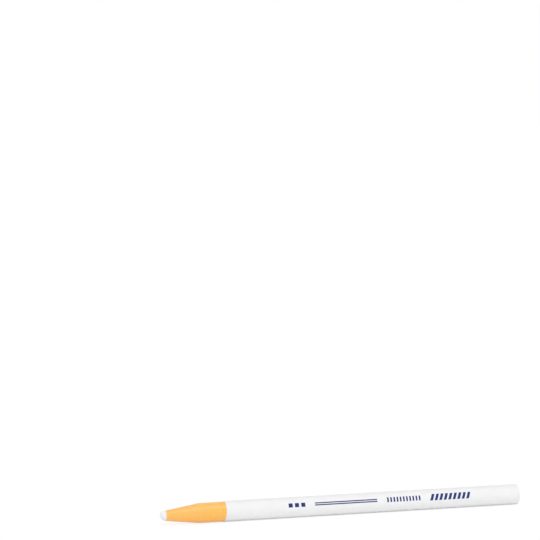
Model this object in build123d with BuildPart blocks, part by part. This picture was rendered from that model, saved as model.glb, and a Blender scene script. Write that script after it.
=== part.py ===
"""China marker: a wax core in a paper wrapper that peels away turn by turn.

The marker lies along X with its writing tip towards -X and rests on the plane Z = 0.
The origin is on that plane, under the middle of the marker's length.

The wrapper is one paper strip of several plies, wound round the core in a helix. Each ply
ends behind the one under it, so that one turn laps over the next in a long shallow stair,
and every turn taken off bares more core and leaves a fresh taper behind it. A thread lies
along the core under the paper: pulling it slits the turns along a tear line, and each
slit turn then comes off forwards. A label is rolled round the wrapper behind the bare turns.
"""

import os
from math import cos, pi, radians, sin

from build123d import *

# Driving dimensions in millimetres
overall_length = 178.0  # tip of the nose to the cut rear end
barrel_diameter = 9.5  # over one layer of the label
core_diameter = 4.6
nose_length = 2.7  # rounded end of the core that stands out of the wrapper
bare_length = 28.0  # wrapper that shows between the nose and the label
bare_turns = 3  # turns ahead of the label, each of which peels off by itself
ply_count = 7  # plies of paper between the core and the label
lap_share = 0.86  # of a turn's width, by which each ply is set back from the one under it
leader_width = 2.0  # narrow end of the front turn, whose front is trimmed square
label_thickness = 0.13
label_overlap = 3.0  # glued flap, along the circumference
label_ramp = 0.8  # stretch over which the label climbs onto its own edge
string_diameter = 0.5
string_tail = 1.5  # thread end that stands out ahead of the wrapper
slit_width = 0.15  # tear line through the bare turns, over the thread

# Clearances in millimetres
core_clearance = 0.05  # radial, core to wrapper
string_clearance = 0.05  # radial, thread to its groove
lap_gap = 0.3  # axial, between one turn and the next
ply_gap = 0.05  # radial, between one turn and the next
glue_film = 0.04  # radial, under the label and under its flap
overcut = 0.3  # radial, by which a cutter passes the walls that it cuts

# Places round the barrel in degrees, from the side (+Y) towards the top
string_angle = 35.0
seam_angle = 40.0

# Sizes that follow from those above
barrel_radius = barrel_diameter / 2
core_radius = core_diameter / 2
sleeve_radius = barrel_radius - label_thickness
wrap_radius = sleeve_radius - glue_film
flap_radius = barrel_radius + glue_film + label_thickness
bore_radius = core_radius + core_clearance
string_radius = string_diameter / 2
ply_thickness = (wrap_radius - bore_radius) / ply_count
stair_widths = ply_count * lap_share
turn_pitch = (bare_length - leader_width + stair_widths * lap_gap) / (bare_turns + stair_widths)
ply_setback = lap_share * (turn_pitch - lap_gap)
first_lap = nose_length + leader_width
last_lap = first_lap + (bare_turns - 1) * turn_pitch
label_start = nose_length + bare_length
tip_x = -overall_length / 2

barrel_axis = Axis((tip_x, 0, barrel_radius), (1, 0, 0))


def axial_plane(angle):
    """Plane with its X along the barrel from the tip and its Y out from the axis at this angle."""
    across = (0, -sin(radians(angle)), cos(radians(angle)))
    return Plane(origin=barrel_axis.position, x_dir=barrel_axis.direction, z_dir=across)


def cross_plane(distance):
    """Plane square to the barrel, this far behind the tip, with its X towards +Y."""
    return Plane(origin=(tip_x + distance, 0, barrel_radius), x_dir=(0, 1, 0), z_dir=(1, 0, 0))


def string_place():
    """Centre of the thread on a cross plane: just clear of the core."""
    return PolarLocations(bore_radius + string_radius, 1, start_angle=string_angle)


def arc_degrees(arc_length):
    """Angle of an arc of this length on the barrel."""
    return arc_length / barrel_radius * 180 / pi


def lap_face(distance, lift=0.0, past_walls=0.0):
    """Points of a lap from the bore out: a stair whose first step is this far behind the tip."""
    ply_tops = [bore_radius + ply * ply_thickness + lift for ply in range(1, ply_count)]
    levels = [bore_radius - past_walls, *ply_tops, wrap_radius + past_walls]
    points = []
    for ply in range(ply_count):
        step = distance + ply * ply_setback
        points += [(step, levels[ply]), (step, levels[ply + 1])]
    return points


def square_end(distance, past_walls=0.0):
    """Points of a square end of the wall from the outside in, this far behind the tip."""
    return [(distance, wrap_radius + past_walls), (distance, bore_radius - past_walls)]


# Laps are drawn over the thread, and turned pieces opposite it, away from the tear line
tear_plane = axial_plane(string_angle)
turning_plane = axial_plane(string_angle + 180)

os.makedirs("parts", exist_ok=True)

# Wax core with its rounded nose
with BuildPart() as wax_core:
    with BuildSketch(turning_plane):
        with BuildLine():
            EllipticalCenterArc((nose_length, 0), nose_length, core_radius, start_angle=90, arc_size=90)
            Polyline(
                (0, 0),
                (overall_length, 0),
                (overall_length, core_radius),
                (nose_length, core_radius),
            )
        make_face()
    revolve(axis=barrel_axis)
wax_core.part.label = "wax_core"
export_step(wax_core.part, "parts/wax_core.step")

# Thread under the paper, from its loose end at the tip to the rear end
with BuildPart() as tear_string:
    with BuildSketch(cross_plane(nose_length - string_tail)):
        with string_place():
            Circle(string_radius)
    extrude(amount=overall_length - nose_length + string_tail)
tear_string.part.label = "tear_string"
export_step(tear_string.part, "parts/tear_string.step")

# Cutter for the groove that the thread lies in, along the bore of the wrapper
with BuildPart() as string_groove:
    with BuildSketch(cross_plane(0)):
        with string_place():
            Circle(string_radius + string_clearance)
    extrude(amount=overall_length)

# Cutter for the tear line over the thread, which has run on one turn past the bare ones
with BuildPart() as tear_slit:
    with BuildSketch(cross_plane(0)):
        Rectangle(barrel_radius, slit_width, rotation=string_angle, align=(Align.MIN, Align.CENTER))
    extrude(amount=label_start + turn_pitch)

# Path of one turn of the winding, from the tear line round to it again, behind all its sections
with BuildLine() as winding:
    Helix(
        pitch=turn_pitch,
        height=turn_pitch,
        radius=wrap_radius,
        center=cross_plane(overall_length).origin,
        direction=barrel_axis.direction,
    )
turn_path = winding.line.rotate(barrel_axis, string_angle - 90)

# Front turn: its front is trimmed square, and behind it ends at the first lap
with BuildPart() as behind_first_lap:
    with BuildSketch(tear_plane):
        with BuildLine():
            Polyline(
                *lap_face(first_lap - lap_gap, ply_gap, overcut),
                *square_end(label_start + turn_pitch, overcut),
                close=True,
            )
        make_face()
    sweep(path=turn_path, is_frenet=True)
with BuildPart() as front_turn:
    with BuildSketch(turning_plane):
        with BuildLine():
            Polyline(*lap_face(nose_length), *square_end(label_start), close=True)
        make_face()
    revolve(axis=barrel_axis)
    add(tear_slit.part, mode=Mode.SUBTRACT)
    add(behind_first_lap.part, mode=Mode.SUBTRACT)
    add(string_groove.part, mode=Mode.SUBTRACT)
front_turn.part.label = "peel_turn_1"
export_step(front_turn.part, "parts/peel_turn_1.step")

# Other bare turns, each one whole turn of the strip between two laps
for number in range(1, bare_turns):
    turn_name = f"peel_turn_{number + 1}"
    turn_front = first_lap + (number - 1) * turn_pitch
    turn_back = turn_front + turn_pitch - lap_gap
    with BuildPart() as bare_turn:
        with BuildSketch(tear_plane):
            with BuildLine():
                Polyline(*lap_face(turn_front), *reversed(lap_face(turn_back, ply_gap)), close=True)
            make_face()
        sweep(path=turn_path, is_frenet=True)
        add(tear_slit.part, mode=Mode.SUBTRACT)
        add(string_groove.part, mode=Mode.SUBTRACT)
    bare_turn.part.label = turn_name
    export_step(bare_turn.part, f"parts/{turn_name}.step")

# Rest of the strip, from the last lap to the cut rear end
with BuildPart() as ahead_of_last_lap:
    with BuildSketch(tear_plane):
        with BuildLine():
            Polyline(
                *lap_face(last_lap, past_walls=overcut),
                *square_end(last_lap - 2 * turn_pitch, overcut),
                close=True,
            )
        make_face()
    sweep(path=turn_path, is_frenet=True)
with BuildPart() as paper_wrap:
    with BuildSketch(cross_plane(last_lap - lap_gap)):
        Circle(wrap_radius)
        Circle(bore_radius, mode=Mode.SUBTRACT)
    extrude(amount=overall_length - last_lap + lap_gap)
    add(tear_slit.part, mode=Mode.SUBTRACT)
    add(ahead_of_last_lap.part, mode=Mode.SUBTRACT)
    add(string_groove.part, mode=Mode.SUBTRACT)
paper_wrap.part.label = "paper_wrap"
export_step(paper_wrap.part, "parts/paper_wrap.step")

# Label, rolled once round the wrapper and glued down over its own edge
with BuildPart() as label:
    with BuildSketch(cross_plane(label_start)):
        with BuildLine():
            flap_sweep = arc_degrees(label_overlap)
            single_sweep = 360 - flap_sweep - arc_degrees(label_ramp)
            flap = CenterArc((0, 0), flap_radius, seam_angle, flap_sweep)
            single = CenterArc((0, 0), barrel_radius, seam_angle + flap_sweep, single_sweep)
            Line(flap @ 1, single @ 0)
            Line(single @ 1, flap @ 0)
        make_face()
        Circle(sleeve_radius, mode=Mode.SUBTRACT)
    extrude(amount=overall_length - label_start)
label.part.label = "label"
export_step(label.part, "parts/label.step")
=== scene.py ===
"""Looks of the china marker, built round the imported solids.

Lengths are in millimetres, unless a comment says otherwise. Places along the barrel are distances
from the tip, and places round it are angles in degrees, from its side (+Y) towards its top. at()
turns them into points in metres.
"""

from math import acos, atan2, cos, degrees, pi, radians, sin, sqrt

import bpy
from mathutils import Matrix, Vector, noise


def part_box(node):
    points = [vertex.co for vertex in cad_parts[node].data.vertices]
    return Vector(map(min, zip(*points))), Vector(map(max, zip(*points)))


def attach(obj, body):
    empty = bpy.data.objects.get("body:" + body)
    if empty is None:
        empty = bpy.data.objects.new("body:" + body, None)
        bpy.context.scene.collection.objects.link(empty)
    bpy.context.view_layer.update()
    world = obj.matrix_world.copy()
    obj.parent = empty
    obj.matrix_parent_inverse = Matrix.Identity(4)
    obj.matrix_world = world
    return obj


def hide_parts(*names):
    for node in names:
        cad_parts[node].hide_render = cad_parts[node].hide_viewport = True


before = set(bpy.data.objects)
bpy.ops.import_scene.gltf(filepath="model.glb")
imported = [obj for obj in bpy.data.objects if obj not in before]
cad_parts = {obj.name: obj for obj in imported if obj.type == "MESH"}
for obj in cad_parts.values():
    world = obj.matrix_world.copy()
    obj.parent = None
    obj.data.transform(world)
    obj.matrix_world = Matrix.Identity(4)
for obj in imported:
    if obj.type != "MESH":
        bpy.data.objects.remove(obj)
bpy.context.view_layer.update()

MM = 0.001

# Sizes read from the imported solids
core_low, core_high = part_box("wax_core")
wrap_low, wrap_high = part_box("paper_wrap")
thread_low, thread_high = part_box("tear_string")
front_turn_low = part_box("peel_turn_1")[0]
label_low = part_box("label")[0]
TIP_X = core_low.x / MM
LENGTH = (core_high.x - core_low.x) / MM
NOSE = (front_turn_low.x - core_low.x) / MM
LABEL_START = (label_low.x - core_low.x) / MM
THREAD_START = (thread_low.x - core_low.x) / MM
CORE_R = (core_high.z - core_low.z) / MM / 2
WRAP_R = (wrap_high.z - wrap_low.z) / MM / 2
THREAD_R = (thread_high.z - thread_low.z) / MM / 2
AXIS_Z = (core_high.z + core_low.z) / MM / 2
BARREL_R = AXIS_Z - label_low.z / MM

# Sizes of the solids that their boxes don't give
CORE_CLEARANCE = 0.05
LEADER = 2.0  # narrow end of the front turn
BARE_TURNS = 3  # turns ahead of the label
SOLID_PLIES = 7
SOLID_LAP_SHARE = 0.86  # of a turn's width, from one ply's edge to the next
SOLID_LAP_GAP = 0.3
LABEL_THICK = 0.13
LABEL_OVERLAP = 3.0
LABEL_RAMP = 0.8
GLUE_FILM = 0.04
TEAR_ANGLE = 35.0  # the thread, and the tear line over it
SEAM_ANGLE = 40.0  # start of the label, with its flap over it

# Sizes that follow from those above
BORE_R = CORE_R + CORE_CLEARANCE
BARE = LABEL_START - NOSE
STAIR_WIDTHS = SOLID_PLIES * SOLID_LAP_SHARE
PITCH = (BARE - LEADER + STAIR_WIDTHS * SOLID_LAP_GAP) / (BARE_TURNS + STAIR_WIDTHS)
TAPER = STAIR_WIDTHS * (PITCH - SOLID_LAP_GAP)
FIRST_LAP = NOSE + LEADER
TEAR_END = LABEL_START + PITCH
FLAP_DEGREES = degrees(LABEL_OVERLAP / BARREL_R)
RAMP_DEGREES = degrees(LABEL_RAMP / BARREL_R)

# Paper strip, with finer plies than the solids have
PLIES = 21
PLY = (WRAP_R - BORE_R) / PLIES
SETBACK = TAPER / PLIES
LAP_GAP = 0.06  # along the barrel, between two turns
PLY_GAP = 0.02  # outwards, between two turns
THREAD_ROOM = 0.04  # between the thread and the paper over it
LIFT_FADE = 1.15  # power by which the lift over the thread fades outwards
TEAR_HALF = 0.3  # degrees from the tear line to each side of the slit
TURN_SECTIONS = 120
TEAR_SECTIONS = 17  # extra ones on each side of the tear line
TEAR_STEP = 0.7  # degrees from one of those to the next

# Cut edges of the plies
WORN_WIDTH = 0.5  # band behind an edge that is worn down
WORN_SHARE = 0.15  # of a ply's thickness, worn off at its edge
WAVER = 0.07  # slow unevenness of an edge
WAVER_RATE = 5.0  # steps in the noise to a turn
WAVER_FINE = 0.025
WAVER_FINE_RATE = 31.0
PLY_SHIFT = 5.3  # step in the noise from ply to ply, which makes them unlike
TINT_SHIFT = 1.7

# How near a point of the strip is to a cut edge, from 0 to 1
EDGE_RIM, EDGE_FOOT, EDGE_NONE = 1.0, 0.8, 0.0
EDGE_BACK_RIM, EDGE_BACK_FOOT = 0.35, 0.2
EDGE_REAR, EDGE_REAR_LINE = 0.9, 0.1

# Rest of the strip, and its ply ends in the cut rear end
WRAP_STATIONS = (TEAR_END, 60.0, 100.0, 140.0, LENGTH - 0.6)
REAR_BORE = LENGTH - 1.0
REAR_LINE = LENGTH - 0.09  # bottom of the line between two plies
REAR_LEVEL = LENGTH - 0.05  # end of the shortest ply
REAR_PROUD = 0.025  # step between neighbouring ply ends
REAR_PROUD_CYCLE = 3  # plies, after which the steps start again
REAR_LINE_SHARE = 0.18  # of a ply, for the line on each side of it

# Wax core
CORE_DROP = 0.42  # its centre under the barrel's
CORE_SIDES = 96
CORE_STATIONS = (NOSE + 2.0, 12.0, 20.0, 40.0, 90.0, 140.0, LENGTH - 0.25)
CORE_REAR = LENGTH - 0.1
CORE_REAR_PROFILE = (
    (LENGTH - 0.12, CORE_R - 0.05),
    (CORE_REAR, CORE_R - 0.6),
    (CORE_REAR, CORE_R - 1.3),
)
NOSE_STEPS = 26
NOSE_BLUNT_ALONG, NOSE_BLUNT_ACROSS = 0.94, 0.9  # powers, under 1 for a fuller nose
NOSE_RISE = 0.6  # of its point
NOSE_RISE_POWER = 1.5
DENT_REACH = 1.3 * NOSE
DENT, DENT_SCALE = 0.05, 0.9
DENT_FINE, DENT_FINE_SCALE = 0.02, 2.6
DENT_ACROSS = 0.4  # share of a dent that narrows the nose
SAWN_DEPTH = 0.2  # stretch at the rear with marks of the saw

# Label
GLUE_LINE = 0.008  # gap under the sheet
WAVE_LONG = 0.012  # slow waves along the barrel
WAVE_LONG_RATE = 0.16  # steps in the noise to a millimetre
WAVE_TURN = 0.006  # waves over the turns of the strip
WAVE_TURN_LENGTH = 2.0 * PITCH
WAVE_ROUND = 2.0  # size of the barrel in the noise
SKEW = 0.3  # of its front edge
SKEW_UNEVEN = 0.05
SKEW_REACH = 3.0
LABEL_END = 4.0  # stretch at each end with its own stations
LABEL_FRONT_STATIONS = (0.0, 0.12, 0.5, 1.5, 2.5)  # from its front edge
LABEL_REAR_STATIONS = (2.0, 0.5, 0.1, 0.0)  # from its rear edge
LABEL_RINGS = 72
LABEL_STEP, LABEL_FINE_STEP = 2.5, 0.8  # degrees
LABEL_FINE_UNTIL, LABEL_FINE_FROM = 4.0, 345.0  # degrees from its start

# Print on the label: plain blocks in one row
PRINT_LINE = 1.85  # middle of the row, up round the barrel from its front side (-Y)
PRINT_DRIFT = 0.05  # raggedness of the ink's edges
PRINT_BLOCKS = (
    dict(start=61.0, width=2.0, gap=1.1, count=3, height=2.0),
    dict(start=74.0, width=31.0, height=0.55, lift=0.475),
    dict(start=74.0, width=31.0, height=0.55, lift=-0.475),
    dict(start=110.0, width=0.8, gap=0.8, count=11, height=2.4),
    dict(start=131.5, width=1.38, gap=0.92, count=9, height=3.2, slant=0.4),
)

# Thread
STRANDS = 3
STRAND_FULLNESS = 0.95
STRAND_SIDES = 7
THREAD_LAY = 1.7  # length of one twist
THREAD_RINGS = 12  # to a twist
THREAD_END = LENGTH - 0.05
FRAY = 0.6  # length of the frayed end
FRAY_STEP = 0.12  # by which each strand there is shorter than the last
FRAY_THIN = 0.35  # share of its thickness that a strand loses there

# Lanes in the noise, one for each use of it
WAVER_LANE, WAVER_FINE_LANE, SKEW_LANE = 0.5, 3.5, 5.0
TINT_LANE = (2.5, 7.5)

# Angles in degrees over which a mesh shows a crease
PAPER_CREASE, CORE_CREASE, LABEL_CREASE, THREAD_CREASE = 28.0, 40.0, 35.0, 50.0

# Surroundings
FLOOR_REACH = 6.0  # metres
FLOOR_MATTE = 0.95  # for the light that it throws back
FLOOR_SHADOW, FLOOR_GLOW = 0.24, 0.8  # where it is seen: what can be shaded, and the rest
LIGHT_BEHIND, LIGHT_IN_FRONT, LIGHT_SEEN = 0.55, 0.9, 1.0

# Camera at the photograph's angle and framing
IMAGE_WIDTH = 540.0  # pixels
FOCAL_LENGTH = 2570.0  # pixels
SENSOR = 36.0
VIEW_AZIMUTH, VIEW_ELEVATION = -20.25, 10.0
VIEW_DISTANCE = 1.2113  # metres
PAN, TILT = 1.624, -5.209  # degrees by which the camera looks past the marker's middle
CLIP_END = 50.0  # metres


def at(distance, radius, angle, drop=0.0):
    """Point in metres: this far behind the tip, at this radius and angle, its centre dropped."""
    a = radians(angle)
    return Vector(
        (
            (TIP_X + distance) * MM,
            radius * cos(a) * MM,
            (AXIS_Z - drop + radius * sin(a)) * MM,
        )
    )


def wobble(x, y, z, scale=1.0):
    """Smooth fixed noise from -1 to 1 at a place, which is scaled first."""
    return noise.noise(Vector((x, y, z)) * scale)


def make_piece(name, verts, faces, material, body, node, crease, marks=None):
    """A mesh object that rides on a body in place of a solid; marks are values at its points."""
    mesh = bpy.data.meshes.new(name)
    mesh.from_pydata(verts, [], faces)
    mesh.validate()
    for mark, values in (marks or {}).items():
        attribute = mesh.attributes.new(mark, "FLOAT", "POINT")
        attribute.data.foreach_set("value", values)
    for polygon in mesh.polygons:
        polygon.use_smooth = True
    mesh.set_sharp_from_angle(angle=radians(crease))
    mesh.materials.append(material)
    piece = bpy.data.objects.new(name, mesh)
    bpy.context.scene.collection.objects.link(piece)
    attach(piece, body)
    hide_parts(node)


def ring_faces(rings, size, first=0):
    """Quads between closed rings of equal size that follow each other from this vertex on."""
    faces = []
    for ring in range(rings - 1):
        here = first + ring * size
        for i in range(size):
            j = (i + 1) % size
            faces.append((here + i, here + j, here + size + j, here + size + i))
    return faces


class Nodes:
    """Shorthand for one material's node tree."""

    def __init__(self, name):
        self.material = bpy.data.materials.new(name)
        self.material.use_nodes = True
        self.tree = self.material.node_tree
        self.shader = self.tree.nodes["Principled BSDF"]
        self.place = self.add("ShaderNodeTexCoord").outputs["Object"]

    def add(self, kind, **settings):
        node = self.tree.nodes.new(kind)
        for key, value in settings.items():
            setattr(node, key, value)
        return node

    def link(self, value, socket):
        """Join a node's output to a socket, or set a number or colour on it."""
        if isinstance(value, bpy.types.NodeSocket):
            self.tree.links.new(value, socket)
        else:
            socket.default_value = value

    def set(self, **inputs):
        """Inputs of the shader by their names, with _ for a space."""
        for key, value in inputs.items():
            self.link(value, self.shader.inputs[key.replace("_", " ")])

    def math(self, operation, *values):
        node = self.add("ShaderNodeMath", operation=operation)
        for socket, value in zip(node.inputs, values):
            self.link(value, socket)
        return node.outputs[0]

    def plus(self, a, b):
        return self.math("ADD", a, b)

    def minus(self, a, b):
        return self.math("SUBTRACT", a, b)

    def times(self, a, b):
        return self.math("MULTIPLY", a, b)

    def over(self, a, b):
        return self.math("DIVIDE", a, b)

    def between(self, value, low, high):
        """1 from low to high, and 0 outside."""
        return self.math("COMPARE", value, (low + high) / 2, (high - low) / 2)

    def ramp(self, value, low, high, to_low=0.0, to_high=1.0):
        """A value from low to high, brought to another range and held at its ends."""
        node = self.add("ShaderNodeMapRange")
        self.link(value, node.inputs["Value"])
        node.inputs["From Min"].default_value = low
        node.inputs["From Max"].default_value = high
        node.inputs["To Min"].default_value = to_low
        node.inputs["To Max"].default_value = to_high
        return node.outputs["Result"]

    def mix(self, factor, a, b):
        """Colour between a and b: sockets 0, 6 and 7 of a colour mix, and its output 2."""
        node = self.add("ShaderNodeMix", data_type="RGBA")
        for value, socket in ((factor, 0), (a, 6), (b, 7)):
            self.link(value, node.inputs[socket])
        return node.outputs[2]

    def bump(self, height, strength, distance):
        node = self.add("ShaderNodeBump")
        node.inputs["Strength"].default_value = strength
        node.inputs["Distance"].default_value = distance
        self.link(height, node.inputs["Height"])
        return node.outputs["Normal"]

    def attribute(self, name):
        """A mark that the mesh has at its points."""
        return self.add("ShaderNodeAttribute", attribute_name=name).outputs["Fac"]

    def stretched(self, x, y, z):
        """The place with its own scale, in grains to the metre, along each axis."""
        node = self.add("ShaderNodeMapping")
        self.link(self.place, node.inputs["Vector"])
        node.inputs["Scale"].default_value = (x, y, z)
        return node.outputs[0]

    def split(self):
        """Millimetres along the barrel from the tip, and sideways and up from its axis."""
        parts = self.add("ShaderNodeSeparateXYZ")
        self.link(self.place, parts.inputs[0])
        x, y, z = (self.over(output, MM) for output in parts.outputs)
        return self.minus(x, TIP_X), y, self.minus(z, AXIS_Z)

    def rolled(self, join):
        """Millimetres along the barrel from the tip, and round it from opposite a join at this angle."""
        along, y, z = self.split()
        a = radians(join + 180.0)
        ahead = self.plus(self.times(y, cos(a)), self.times(z, sin(a)))
        up = self.minus(self.times(y, sin(a)), self.times(z, cos(a)))
        return along, self.times(self.math("ARCTAN2", up, ahead), BARREL_R)

    def noise(self, vector, scale=1.0, detail=3.0, rough=0.5):
        """Noise from 0 to 1, with this many grains to one unit of its vector."""
        node = self.add("ShaderNodeTexNoise")
        self.link(vector, node.inputs["Vector"])
        node.inputs["Scale"].default_value = scale
        node.inputs["Detail"].default_value = detail
        node.inputs["Roughness"].default_value = rough
        return node.outputs["Fac"]

    def grain(self, along, arc, along_size, arc_size, detail=4.0, rough=0.6):
        """Noise with grains of this size in millimetres along the barrel and round it."""
        joined = self.add("ShaderNodeCombineXYZ")
        self.link(self.over(along, along_size), joined.inputs[0])
        self.link(self.over(arc, arc_size), joined.inputs[1])
        return self.noise(joined.outputs[0], detail=detail, rough=rough)


def srgb(r, g, b):
    """Linear colour of an 8-bit screen colour."""

    def linear(channel):
        share = channel / 255
        return share / 12.92 if share <= 0.04045 else ((share + 0.055) / 1.055) ** 2.4

    return (linear(r), linear(g), linear(b), 1.0)


# Colours
WAX_PALE, WAX_CLOUD = srgb(246, 246, 248), srgb(236, 236, 240)
WAX_SPECK, WAX_SAWN = srgb(206, 204, 200), srgb(214, 213, 210)
PAPER_DEEP, PAPER_LIGHT = srgb(253, 182, 70), srgb(255, 188, 80)
PAPER_PLY = srgb(255, 196, 84)
PAPER_FIBRE, PAPER_HAIR = srgb(255, 206, 128), srgb(244, 164, 62)
PAPER_FLECK, PAPER_WORN = srgb(232, 150, 62), srgb(255, 222, 164)
LABEL_WHITE, LABEL_MOTTLE = srgb(242, 242, 243), srgb(238, 238, 239)
LABEL_FIBRE = srgb(230, 230, 231)
INK = srgb(6, 42, 114)
COTTON_PALE, COTTON_DARK = srgb(242, 238, 228), srgb(214, 206, 190)
WHITE = (1.0, 1.0, 1.0, 1.0)


def grey(level):
    """Colour that is the same in all channels."""
    return (level, level, level, 1.0)


# Wax: slightly see-through, with fine scuffs, and sawn at the rear
def wax_material():
    n = Nodes("wax")
    cloud = n.noise(n.place, scale=420.0, detail=4.0)
    scuff = n.noise(n.stretched(1500.0, 4200.0, 4200.0), detail=5.0, rough=0.65)
    speck = n.ramp(n.noise(n.place, scale=5200.0, detail=2.0), 0.62, 0.75)
    along = n.split()[0]
    sawn = n.math("GREATER_THAN", along, LENGTH - SAWN_DEPTH)
    saw = n.times(sawn, n.noise(n.stretched(0.0, 700.0, 9000.0), detail=4.0, rough=0.6))
    tint = n.mix(n.ramp(cloud, 0.35, 0.7), WAX_CLOUD, WAX_PALE)
    tint = n.mix(n.times(speck, 0.35), tint, WAX_SPECK)
    tint = n.mix(n.ramp(saw, 0.5, 0.75, to_high=0.5), tint, WAX_SAWN)
    height = n.plus(n.times(scuff, 0.7), n.times(cloud, 0.5))
    height = n.plus(height, n.times(saw, 1.5))
    n.set(
        Base_Color=tint,
        Roughness=n.ramp(scuff, 0.3, 0.75, to_low=0.36, to_high=0.6),
        Normal=n.bump(height, strength=0.35, distance=0.00006),
        Subsurface_Weight=0.18,
        Subsurface_Radius=(1.0, 0.95, 0.85),
        Subsurface_Scale=0.0012,
        Specular_IOR_Level=0.45,
    )
    return n.material


# Dyed paper: fibres along the strip, plies of unlike shades, paler worn edges and a few flecks
def paper_material():
    n = Nodes("dyed_paper")
    along, arc = n.rolled(TEAR_ANGLE)
    across = n.plus(along, n.times(arc, PITCH / (2 * pi * WRAP_R)))
    fibre = n.grain(across, arc, along_size=0.12, arc_size=1.0, detail=5.0)
    hair = n.grain(across, arc, along_size=0.045, arc_size=0.3, detail=3.0)
    fleck = n.ramp(n.grain(across, arc, along_size=0.2, arc_size=0.45, detail=2.0, rough=0.5), 0.64, 0.76)
    blotch = n.noise(n.place, scale=330.0, detail=4.0)
    wear = n.ramp(n.noise(n.place, scale=900.0), 0.3, 0.7, to_low=0.14, to_high=0.4)
    worn = n.times(n.attribute("ply_edge"), wear)
    shade = n.ramp(n.attribute("ply_tint"), 0.2, 0.8, to_high=0.3)
    tint = n.mix(n.ramp(blotch, 0.3, 0.72), PAPER_DEEP, PAPER_LIGHT)
    tint = n.mix(shade, tint, PAPER_PLY)
    tint = n.mix(n.ramp(fibre, 0.38, 0.72, to_high=0.36), tint, PAPER_FIBRE)
    tint = n.mix(n.ramp(hair, 0.52, 0.75, to_high=0.3), tint, PAPER_HAIR)
    tint = n.mix(n.times(fleck, 0.22), tint, PAPER_FLECK)
    tint = n.mix(worn, tint, PAPER_WORN)
    height = n.plus(fibre, n.times(hair, 0.5))
    height = n.plus(height, n.times(blotch, 0.6))
    n.set(
        Base_Color=tint,
        Roughness=n.ramp(fibre, 0.3, 0.75, to_low=0.3, to_high=0.46),
        Normal=n.bump(height, strength=0.4, distance=0.00003),
        Specular_IOR_Level=0.5,
        Sheen_Weight=0.12,
        Sheen_Roughness=0.5,
    )
    return n.material


def printed_ink(n):
    """1 where the label's outside is printed, with slightly ragged edges, and 0 elsewhere."""
    along, arc = n.rolled(0.0)
    drift = n.times(n.minus(n.noise(n.place, scale=3600.0), 0.5), PRINT_DRIFT)
    along = n.plus(along, drift)
    arc = n.plus(arc, drift)

    def block(start, width, height, lift=0.0, gap=0.0, count=1, slant=0.0):
        """One bar or a row of bars, centred on the print's line or lifted from it."""
        period = width + gap
        end = start + count * period - gap
        low = PRINT_LINE + lift - height / 2
        leaned = n.minus(along, n.times(arc, slant))
        mask = n.times(n.between(leaned, start, end), n.between(arc, low, low + height))
        if count > 1:
            phase = n.math("FRACT", n.over(n.minus(leaned, start), period))
            mask = n.times(mask, n.math("LESS_THAN", phase, width / period))
        return mask

    ink = 0.0
    for sizes in PRINT_BLOCKS:
        ink = n.math("MAXIMUM", ink, block(**sizes))
    return n.times(ink, n.attribute("printed_side"))


# Label: smooth coated paper with plain printed blocks in blue
def label_material():
    n = Nodes("label_paper")
    fibre = n.grain(*n.rolled(SEAM_ANGLE + FLAP_DEGREES), along_size=0.5, arc_size=0.22, detail=5.0)
    mottle = n.noise(n.place, scale=260.0, detail=4.0)
    cover = n.ramp(n.noise(n.place, scale=9000.0), 0.25, 0.6, to_low=0.95, to_high=0.99)
    tint = n.mix(n.ramp(mottle, 0.3, 0.7), LABEL_MOTTLE, LABEL_WHITE)
    tint = n.mix(n.ramp(fibre, 0.5, 0.8, to_high=0.35), tint, LABEL_FIBRE)
    tint = n.mix(n.times(printed_ink(n), cover), tint, INK)
    height = n.plus(fibre, n.times(mottle, 0.8))
    n.set(
        Base_Color=tint,
        Roughness=n.ramp(fibre, 0.3, 0.75, to_low=0.52, to_high=0.68),
        Normal=n.bump(height, strength=0.2, distance=0.00004),
        Specular_IOR_Level=0.2,
    )
    return n.material


# Cotton: soft fibres along the thread
def thread_material():
    n = Nodes("cotton_thread")
    fibre = n.noise(n.stretched(3000.0, 9000.0, 9000.0), detail=5.0, rough=0.65)
    n.set(
        Base_Color=n.mix(n.ramp(fibre, 0.3, 0.7), COTTON_DARK, COTTON_PALE),
        Roughness=0.85,
        Normal=n.bump(fibre, strength=0.5, distance=0.00004),
        Specular_IOR_Level=0.2,
        Sheen_Weight=0.35,
        Sheen_Roughness=0.6,
    )
    return n.material


# Where the paper leaves the core and meets the thread, as angles off the thread in radians
THREAD_PLACE = BORE_R + THREAD_R
THREAD_COVER = THREAD_R + THREAD_ROOM
LEAVES_CORE = acos((BORE_R - THREAD_COVER) / THREAD_PLACE)
MEETS_THREAD = atan2(THREAD_COVER * sin(LEAVES_CORE), THREAD_PLACE + THREAD_COVER * cos(LEAVES_CORE))


def bore_radius(off):
    """Radius of the bore at an angle off the thread: the paper spans from the core to the thread."""
    if off > LEAVES_CORE:
        return BORE_R
    if off > MEETS_THREAD:
        return BORE_R / cos(LEAVES_CORE - off)
    side = THREAD_PLACE * sin(off)
    return THREAD_PLACE * cos(off) + sqrt(THREAD_COVER**2 - side**2)


def level_radius(level, angle):
    """Radius of the surface between two plies: level 0 is the bore, the last one the outside."""
    off = abs((angle - TEAR_ANGLE + 180.0) % 360.0 - 180.0)
    lift = bore_radius(radians(off)) - BORE_R
    return BORE_R + level * PLY + lift * (1.0 - level / PLIES) ** LIFT_FADE


def level_drop(level):
    """How far a level's centre lies under the barrel's: the core sits a little low."""
    return CORE_DROP * (1.0 - level / PLIES)


def turn_shares():
    """Share of a turn at each section, close together near the tear line."""
    half = TEAR_HALF / 360.0
    shares = [half, 1.0 - half]
    shares += [i / TURN_SECTIONS for i in range(1, TURN_SECTIONS)]
    for i in range(1, TEAR_SECTIONS + 1):
        off = half + i * TEAR_STEP / 360.0
        shares += [off, 1.0 - off]
    return sorted(set(round(share, 6) for share in shares), reverse=True)


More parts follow.
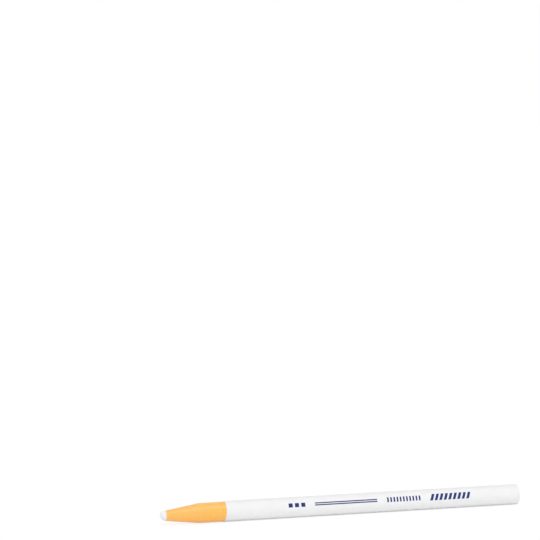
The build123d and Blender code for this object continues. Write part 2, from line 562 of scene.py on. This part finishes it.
def lap_place(lap, share, ply):
    """How far behind the tip a ply's edge lies at a lap; lap 0 is the square-trimmed front."""
    turns = lap + share
    uneven = WAVER * wobble(turns * WAVER_RATE, ply * PLY_SHIFT, WAVER_LANE)
    uneven += WAVER_FINE * wobble(turns * WAVER_FINE_RATE, ply * PLY_SHIFT, WAVER_FINE_LANE)
    if lap == 0:
        return NOSE + ply * SETBACK + uneven
    return FIRST_LAP + (turns - 1) * PITCH + ply * SETBACK + uneven


def ply_tint(ply):
    """Fixed shade of a ply, from 0 to 1."""
    return 0.5 + 0.5 * wobble(ply * TINT_SHIFT, *TINT_LANE)


def front_stair(lap, share):
    """Profile of a lap's plies from the bore out: distance, level, how near to a cut edge, tint."""
    points = []
    for ply in range(PLIES):
        step = lap_place(lap, share, ply)
        points += [
            (step, ply, EDGE_FOOT, ply_tint(ply - 1)),
            (step, ply + 1 - WORN_SHARE, EDGE_RIM, ply_tint(ply)),
            (step + WORN_WIDTH, ply + 1, EDGE_NONE, ply_tint(ply)),
        ]
    return points


def back_stair(lap, share):
    """Profile of a turn's rear side from the outside in, just clear of the lap under it."""
    points = []
    lift = PLY_GAP / PLY
    for ply in reversed(range(PLIES)):
        step = lap_place(lap, share, ply) - LAP_GAP
        outside = ply + 1 if ply + 1 == PLIES else ply + 1 + lift
        inside = ply + lift if ply else 0
        points += [
            (step, outside, EDGE_BACK_RIM, ply_tint(ply)),
            (step, inside, EDGE_BACK_FOOT, ply_tint(ply)),
        ]
    return points


def turn_profile(number):
    """Profile of a bare turn, as a function of the share of the turn."""

    def profile_at(share):
        return front_stair(number - 1, share) + back_stair(number, share)

    return profile_at


def wrap_profile(share):
    """Profile of the rest of the strip, with its plies showing in the cut rear end."""
    points = front_stair(BARE_TURNS, share)
    points += [(station, PLIES, EDGE_NONE, ply_tint(PLIES - 1)) for station in WRAP_STATIONS]
    for ply in reversed(range(PLIES)):
        tint = ply_tint(ply)
        end = REAR_LEVEL + REAR_PROUD * (ply % REAR_PROUD_CYCLE)
        points += [
            (REAR_LINE, ply + 1, EDGE_REAR_LINE, tint),
            (end, ply + 1 - REAR_LINE_SHARE, EDGE_REAR, tint),
            (end, ply + REAR_LINE_SHARE, EDGE_REAR, tint),
        ]
    tint = ply_tint(0)
    points += [(REAR_LINE, 0, EDGE_REAR_LINE, tint)]
    points += [(station, 0, EDGE_NONE, tint) for station in (REAR_BORE, TEAR_END)]
    return points


def wound_piece(name, profile_at, material, body, node, whole=None):
    """Closed piece of the strip: sections from the tear line round to it again.

    The points of the profile between the two in whole lie behind the tear, where the wall is whole.
    """
    shares = turn_shares()
    verts, edges, tints = [], [], []
    for share in shares:
        angle = TEAR_ANGLE + 360.0 * share
        profile = profile_at(share)
        for distance, level, edge, tint in profile:
            verts.append(at(distance, level_radius(level, angle), angle, level_drop(level)))
            edges.append(edge)
            tints.append(tint)
    size = len(profile)
    last = (len(shares) - 1) * size
    faces = ring_faces(len(shares), size)
    cut = list(range(size))
    if whole:
        start, end = whole
        cut = cut[: start + 1] + cut[end:]
        for i in range(start, end):
            faces.append((last + i, last + i + 1, i + 1, i))
        faces.append((end, last + end, last + start, start))
    faces.append(tuple(reversed(cut)))
    faces.append(tuple(last + i for i in cut))
    marks = {"ply_edge": edges, "ply_tint": tints}
    make_piece(
        name,
        verts,
        faces,
        material,
        body=body,
        node=node,
        crease=PAPER_CREASE,
        marks=marks,
    )


# Paper strip: the bare turns, and the rest of it under the label
def strip_pieces(paper):
    for number in range(1, BARE_TURNS + 1):
        turn = f"peel_turn_{number}"
        wound_piece(f"{turn}_strip", turn_profile(number), paper, body=turn, node=turn)
    stair_points = len(front_stair(BARE_TURNS, 0.0))
    behind_tear = (stair_points, len(wrap_profile(0.0)) - 1)
    wound_piece(
        "paper_wrap_strip", wrap_profile, paper, body="barrel", node="paper_wrap", whole=behind_tear
    )


def core_profile():
    """Distance and radius along the core: blunt nose, straight body, sawn rear face."""
    profile = []
    for i in range(1, NOSE_STEPS + 1):
        a = i / NOSE_STEPS * pi / 2
        distance = NOSE * (1 - cos(a) ** NOSE_BLUNT_ALONG)
        profile.append((distance, CORE_R * sin(a) ** NOSE_BLUNT_ACROSS))
    profile += [(station, CORE_R) for station in CORE_STATIONS]
    return profile + list(CORE_REAR_PROFILE)


def core_point(distance, radius, angle):
    """A point of the core: dented near its tip, where the nose rises."""
    y, z = radius * cos(radians(angle)), radius * sin(radians(angle))
    dent = DENT * wobble(distance, y, z, DENT_SCALE) + DENT_FINE * wobble(distance, y, z, DENT_FINE_SCALE)
    dent *= max(0.0, 1.0 - distance / DENT_REACH)
    rise = NOSE_RISE * max(0.0, 1.0 - distance / NOSE) ** NOSE_RISE_POWER
    return at(distance + dent, radius * (1 + dent * DENT_ACROSS), angle, CORE_DROP - rise)


# Wax core
def core_piece(wax):
    profile = core_profile()
    verts = []
    for distance, radius in profile:
        verts += [core_point(distance, radius, 360.0 * i / CORE_SIDES) for i in range(CORE_SIDES)]
    faces = ring_faces(len(profile), CORE_SIDES)
    last = len(verts) - CORE_SIDES
    tip, rear = len(verts), len(verts) + 1
    verts.append(at(0.0, 0.0, 0.0, CORE_DROP - NOSE_RISE))
    verts.append(at(CORE_REAR, 0.0, 0.0, CORE_DROP))
    for i in range(CORE_SIDES):
        j = (i + 1) % CORE_SIDES
        faces.append((tip, j, i))
        faces.append((rear, last + i, last + j))
    make_piece(
        "core_stick",
        verts,
        faces,
        wax,
        body="barrel",
        node="wax_core",
        crease=CORE_CREASE,
    )


def label_turns():
    """Degrees from the label's start to its end, close together where it climbs onto itself."""
    whole = 360.0 + FLAP_DEGREES
    turns = [0.0]
    while turns[-1] < whole:
        here = turns[-1]
        fine = here < LABEL_FINE_UNTIL or here > LABEL_FINE_FROM
        turns.append(min(here + (LABEL_FINE_STEP if fine else LABEL_STEP), whole))
    return turns


def climb(turn):
    """Share of the label's climb onto its own start, smooth at both ends."""
    share = min(1.0, max(0.0, (turn - 360.0 + RAMP_DEGREES) / RAMP_DEGREES))
    return share * share * (3 - 2 * share)


def label_section():
    """The sheet's outside and then its inside: degrees from its start, radius, share of the waves."""
    outer_r = BARREL_R - WAVE_LONG - WAVE_TURN
    inner_r = WRAP_R + GLUE_LINE
    over_start = outer_r + GLUE_LINE - inner_r
    turns = label_turns()
    outside = [(turn, outer_r + climb(turn) * (LABEL_THICK + GLUE_FILM), 1.0) for turn in turns]
    inside = [(turn, inner_r + climb(turn) * over_start, climb(turn)) for turn in reversed(turns)]
    return outside + inside


def label_stations():
    """Distances from the label's front, close together at both ends."""
    span = LENGTH - LABEL_START
    middle = span - 2 * LABEL_END
    stations = list(LABEL_FRONT_STATIONS)
    stations += [LABEL_END + i * middle / LABEL_RINGS for i in range(LABEL_RINGS + 1)]
    return stations + [span - rear for rear in LABEL_REAR_STATIONS]


def label_point(station, turn, radius, waviness):
    """A point of the sheet: its front is cut a little askew, and it waves over the turns under it."""
    angle = SEAM_ANGLE + turn
    side, top = cos(radians(angle)), sin(radians(angle))
    wave = WAVE_LONG * wobble(station * WAVE_LONG_RATE, side * WAVE_ROUND, top * WAVE_ROUND)
    wave += WAVE_TURN * sin(2 * pi * (station / WAVE_TURN_LENGTH - turn / 360.0))
    skew = SKEW * top + SKEW_UNEVEN * wobble(side * WAVE_ROUND, top * WAVE_ROUND, SKEW_LANE)
    place = station + skew * max(0.0, 1.0 - station / SKEW_REACH)
    return at(LABEL_START + place, radius + wave * waviness, angle)


# Label: one sheet rolled round the wrapper, its flap lying over its own start
def label_piece(label_paper):
    section = label_section()
    stations = label_stations()
    verts = [label_point(station, *point) for station in stations for point in section]
    size = len(section)
    half = size // 2
    last = len(verts) - size
    faces = ring_faces(len(stations), size)
    for i in range(half - 1):
        outside, inside = (i, i + 1), (size - 2 - i, size - 1 - i)
        faces.append((outside[0], inside[1], inside[0], outside[1]))
        faces.append(tuple(last + v for v in outside + inside))
    marks = {"printed_side": ([1.0] * half + [0.0] * half) * len(stations)}
    make_piece(
        "label_sheet",
        verts,
        faces,
        label_paper,
        body="barrel",
        node="label",
        crease=LABEL_CREASE,
        marks=marks,
    )


def strand_ring(strand, run):
    """Points round one strand, this far along the thread: the strands twist and end frayed."""
    twist_r = THREAD_R / (1 + sin(pi / STRANDS))
    centre = at(0.0, THREAD_PLACE, TEAR_ANGLE, CORE_DROP)
    phase = 2 * pi * (run / THREAD_LAY + strand / STRANDS)
    loose = max(0.0, 1.0 - run / FRAY)
    width = STRAND_FULLNESS * (THREAD_R - twist_r) * (1 - FRAY_THIN * loose)
    x = TIP_X + THREAD_START + run + FRAY_STEP * strand * loose
    points = []
    for i in range(STRAND_SIDES):
        a = 2 * pi * i / STRAND_SIDES
        y = twist_r * cos(phase) + width * cos(a)
        z = twist_r * sin(phase) + width * sin(a)
        points.append(Vector((x * MM, centre.y + y * MM, centre.z + z * MM)))
    return points


# Thread: strands twisted round each other
def thread_piece(cotton):
    total = THREAD_END - THREAD_START
    rings = int(total / THREAD_LAY * THREAD_RINGS) + 1
    verts, faces = [], []
    for strand in range(STRANDS):
        first = len(verts)
        for ring in range(rings):
            verts += strand_ring(strand, total * ring / (rings - 1))
        last = len(verts) - STRAND_SIDES
        faces += ring_faces(rings, STRAND_SIDES, first)
        faces.append(tuple(first + i for i in reversed(range(STRAND_SIDES))))
        faces.append(tuple(last + i for i in range(STRAND_SIDES)))
    make_piece(
        "tear_thread",
        verts,
        faces,
        cotton,
        body="tear_string",
        node="tear_string",
        crease=THREAD_CREASE,
    )


strip_pieces(paper_material())
core_piece(wax_material())
label_piece(label_material())
thread_piece(thread_material())


def seen_directly(tree):
    """1 for what the camera sees, also in gloss or through something clear, and 0 for light."""
    rays = tree.nodes.new("ShaderNodeLightPath")
    seen = rays.outputs["Is Camera Ray"]
    for kind in ("Is Glossy Ray", "Is Transmission Ray"):
        either = tree.nodes.new("ShaderNodeMath")
        either.operation = "MAXIMUM"
        tree.links.new(seen, either.inputs[0])
        tree.links.new(rays.outputs[kind], either.inputs[1])
        seen = either.outputs[0]
    return seen


# Floor: matte for the light that it throws back, and nearly white with a soft shadow where seen
def floor_material():
    n = Nodes("pale_floor")
    n.tree.nodes.remove(n.shader)
    matte = n.add("ShaderNodeBsdfDiffuse")
    matte.inputs["Color"].default_value = grey(FLOOR_MATTE)
    shaded = n.add("ShaderNodeBsdfDiffuse")
    shaded.inputs["Color"].default_value = grey(FLOOR_SHADOW)
    glow = n.add("ShaderNodeEmission")
    glow.inputs["Strength"].default_value = FLOOR_GLOW
    seen = n.add("ShaderNodeAddShader")
    n.link(shaded.outputs[0], seen.inputs[0])
    n.link(glow.outputs[0], seen.inputs[1])
    either = n.add("ShaderNodeMixShader")
    n.link(seen_directly(n.tree), either.inputs[0])
    n.link(matte.outputs[0], either.inputs[1])
    n.link(seen.outputs[0], either.inputs[2])
    n.link(either.outputs[0], n.tree.nodes["Material Output"].inputs["Surface"])
    return n.material


def floor_piece():
    mesh = bpy.data.meshes.new("floor")
    signs = ((-1, -1), (1, -1), (1, 1), (-1, 1))
    corners = [(x * FLOOR_REACH, y * FLOOR_REACH, 0.0) for x, y in signs]
    mesh.from_pydata(corners, [], [(0, 1, 2, 3)])
    mesh.materials.append(floor_material())
    floor = bpy.data.objects.new("floor", mesh)
    bpy.context.scene.collection.objects.link(floor)


# White surroundings: full white where seen, and as a light brighter in front than behind
def surroundings():
    world = bpy.data.worlds.new("surroundings")
    bpy.context.scene.world = world
    world.use_nodes = True
    tree = world.node_tree
    background = tree.nodes["Background"]
    place = tree.nodes.new("ShaderNodeTexCoord")
    split = tree.nodes.new("ShaderNodeSeparateXYZ")
    light = tree.nodes.new("ShaderNodeMapRange")
    level = tree.nodes.new("ShaderNodeMapRange")
    light.inputs["From Min"].default_value = 1.0
    light.inputs["From Max"].default_value = -1.0
    light.inputs["To Min"].default_value = LIGHT_BEHIND
    light.inputs["To Max"].default_value = LIGHT_IN_FRONT
    level.inputs["To Max"].default_value = LIGHT_SEEN
    tree.links.new(place.outputs["Generated"], split.inputs[0])
    tree.links.new(split.outputs["Y"], light.inputs["Value"])
    tree.links.new(light.outputs["Result"], level.inputs["To Min"])
    tree.links.new(seen_directly(tree), level.inputs["Value"])
    tree.links.new(level.outputs["Result"], background.inputs["Strength"])
    background.inputs["Color"].default_value = WHITE


def direction(azimuth, elevation):
    """Unit vector towards a place round the object: azimuth 0 is in front (-Y), 90 is at +X."""
    a, e = radians(azimuth), radians(elevation)
    return Vector((sin(a) * cos(e), -cos(a) * cos(e), sin(e)))


def soft_sun(name, azimuth, elevation, spread, strength):
    """Broad light from far away, so that the floor is lit evenly."""
    lamp = bpy.data.lights.new(name, "SUN")
    lamp.angle = radians(spread)
    lamp.energy = strength
    lamp_object = bpy.data.objects.new(name, lamp)
    lamp_object.rotation_euler = direction(azimuth, elevation).to_track_quat("Z", "Y").to_euler()
    bpy.context.scene.collection.objects.link(lamp_object)


# Camera
def view_camera():
    camera_data = bpy.data.cameras.new("camera")
    camera_data.sensor_width = SENSOR
    camera_data.lens = SENSOR * FOCAL_LENGTH / IMAGE_WIDTH
    camera_data.clip_end = CLIP_END
    camera = bpy.data.objects.new("camera", camera_data)
    middle = Vector((0, 0, AXIS_Z * MM))
    camera.location = middle + direction(VIEW_AZIMUTH, VIEW_ELEVATION) * VIEW_DISTANCE
    aim = direction(VIEW_AZIMUTH + PAN, VIEW_ELEVATION + TILT)
    camera.rotation_mode = "QUATERNION"
    camera.rotation_quaternion = aim.to_track_quat("Z", "Y")
    bpy.context.scene.collection.objects.link(camera)
    return camera


floor_piece()
surroundings()
soft_sun("key", azimuth=45.0, elevation=62.0, spread=20.0, strength=0.6)
soft_sun("fill", azimuth=-20.0, elevation=14.0, spread=24.0, strength=0.3)
soft_sun("back", azimuth=210.0, elevation=8.0, spread=14.0, strength=0.45)
bpy.context.scene.camera = view_camera()
bpy.context.scene.view_settings.view_transform = "Standard"
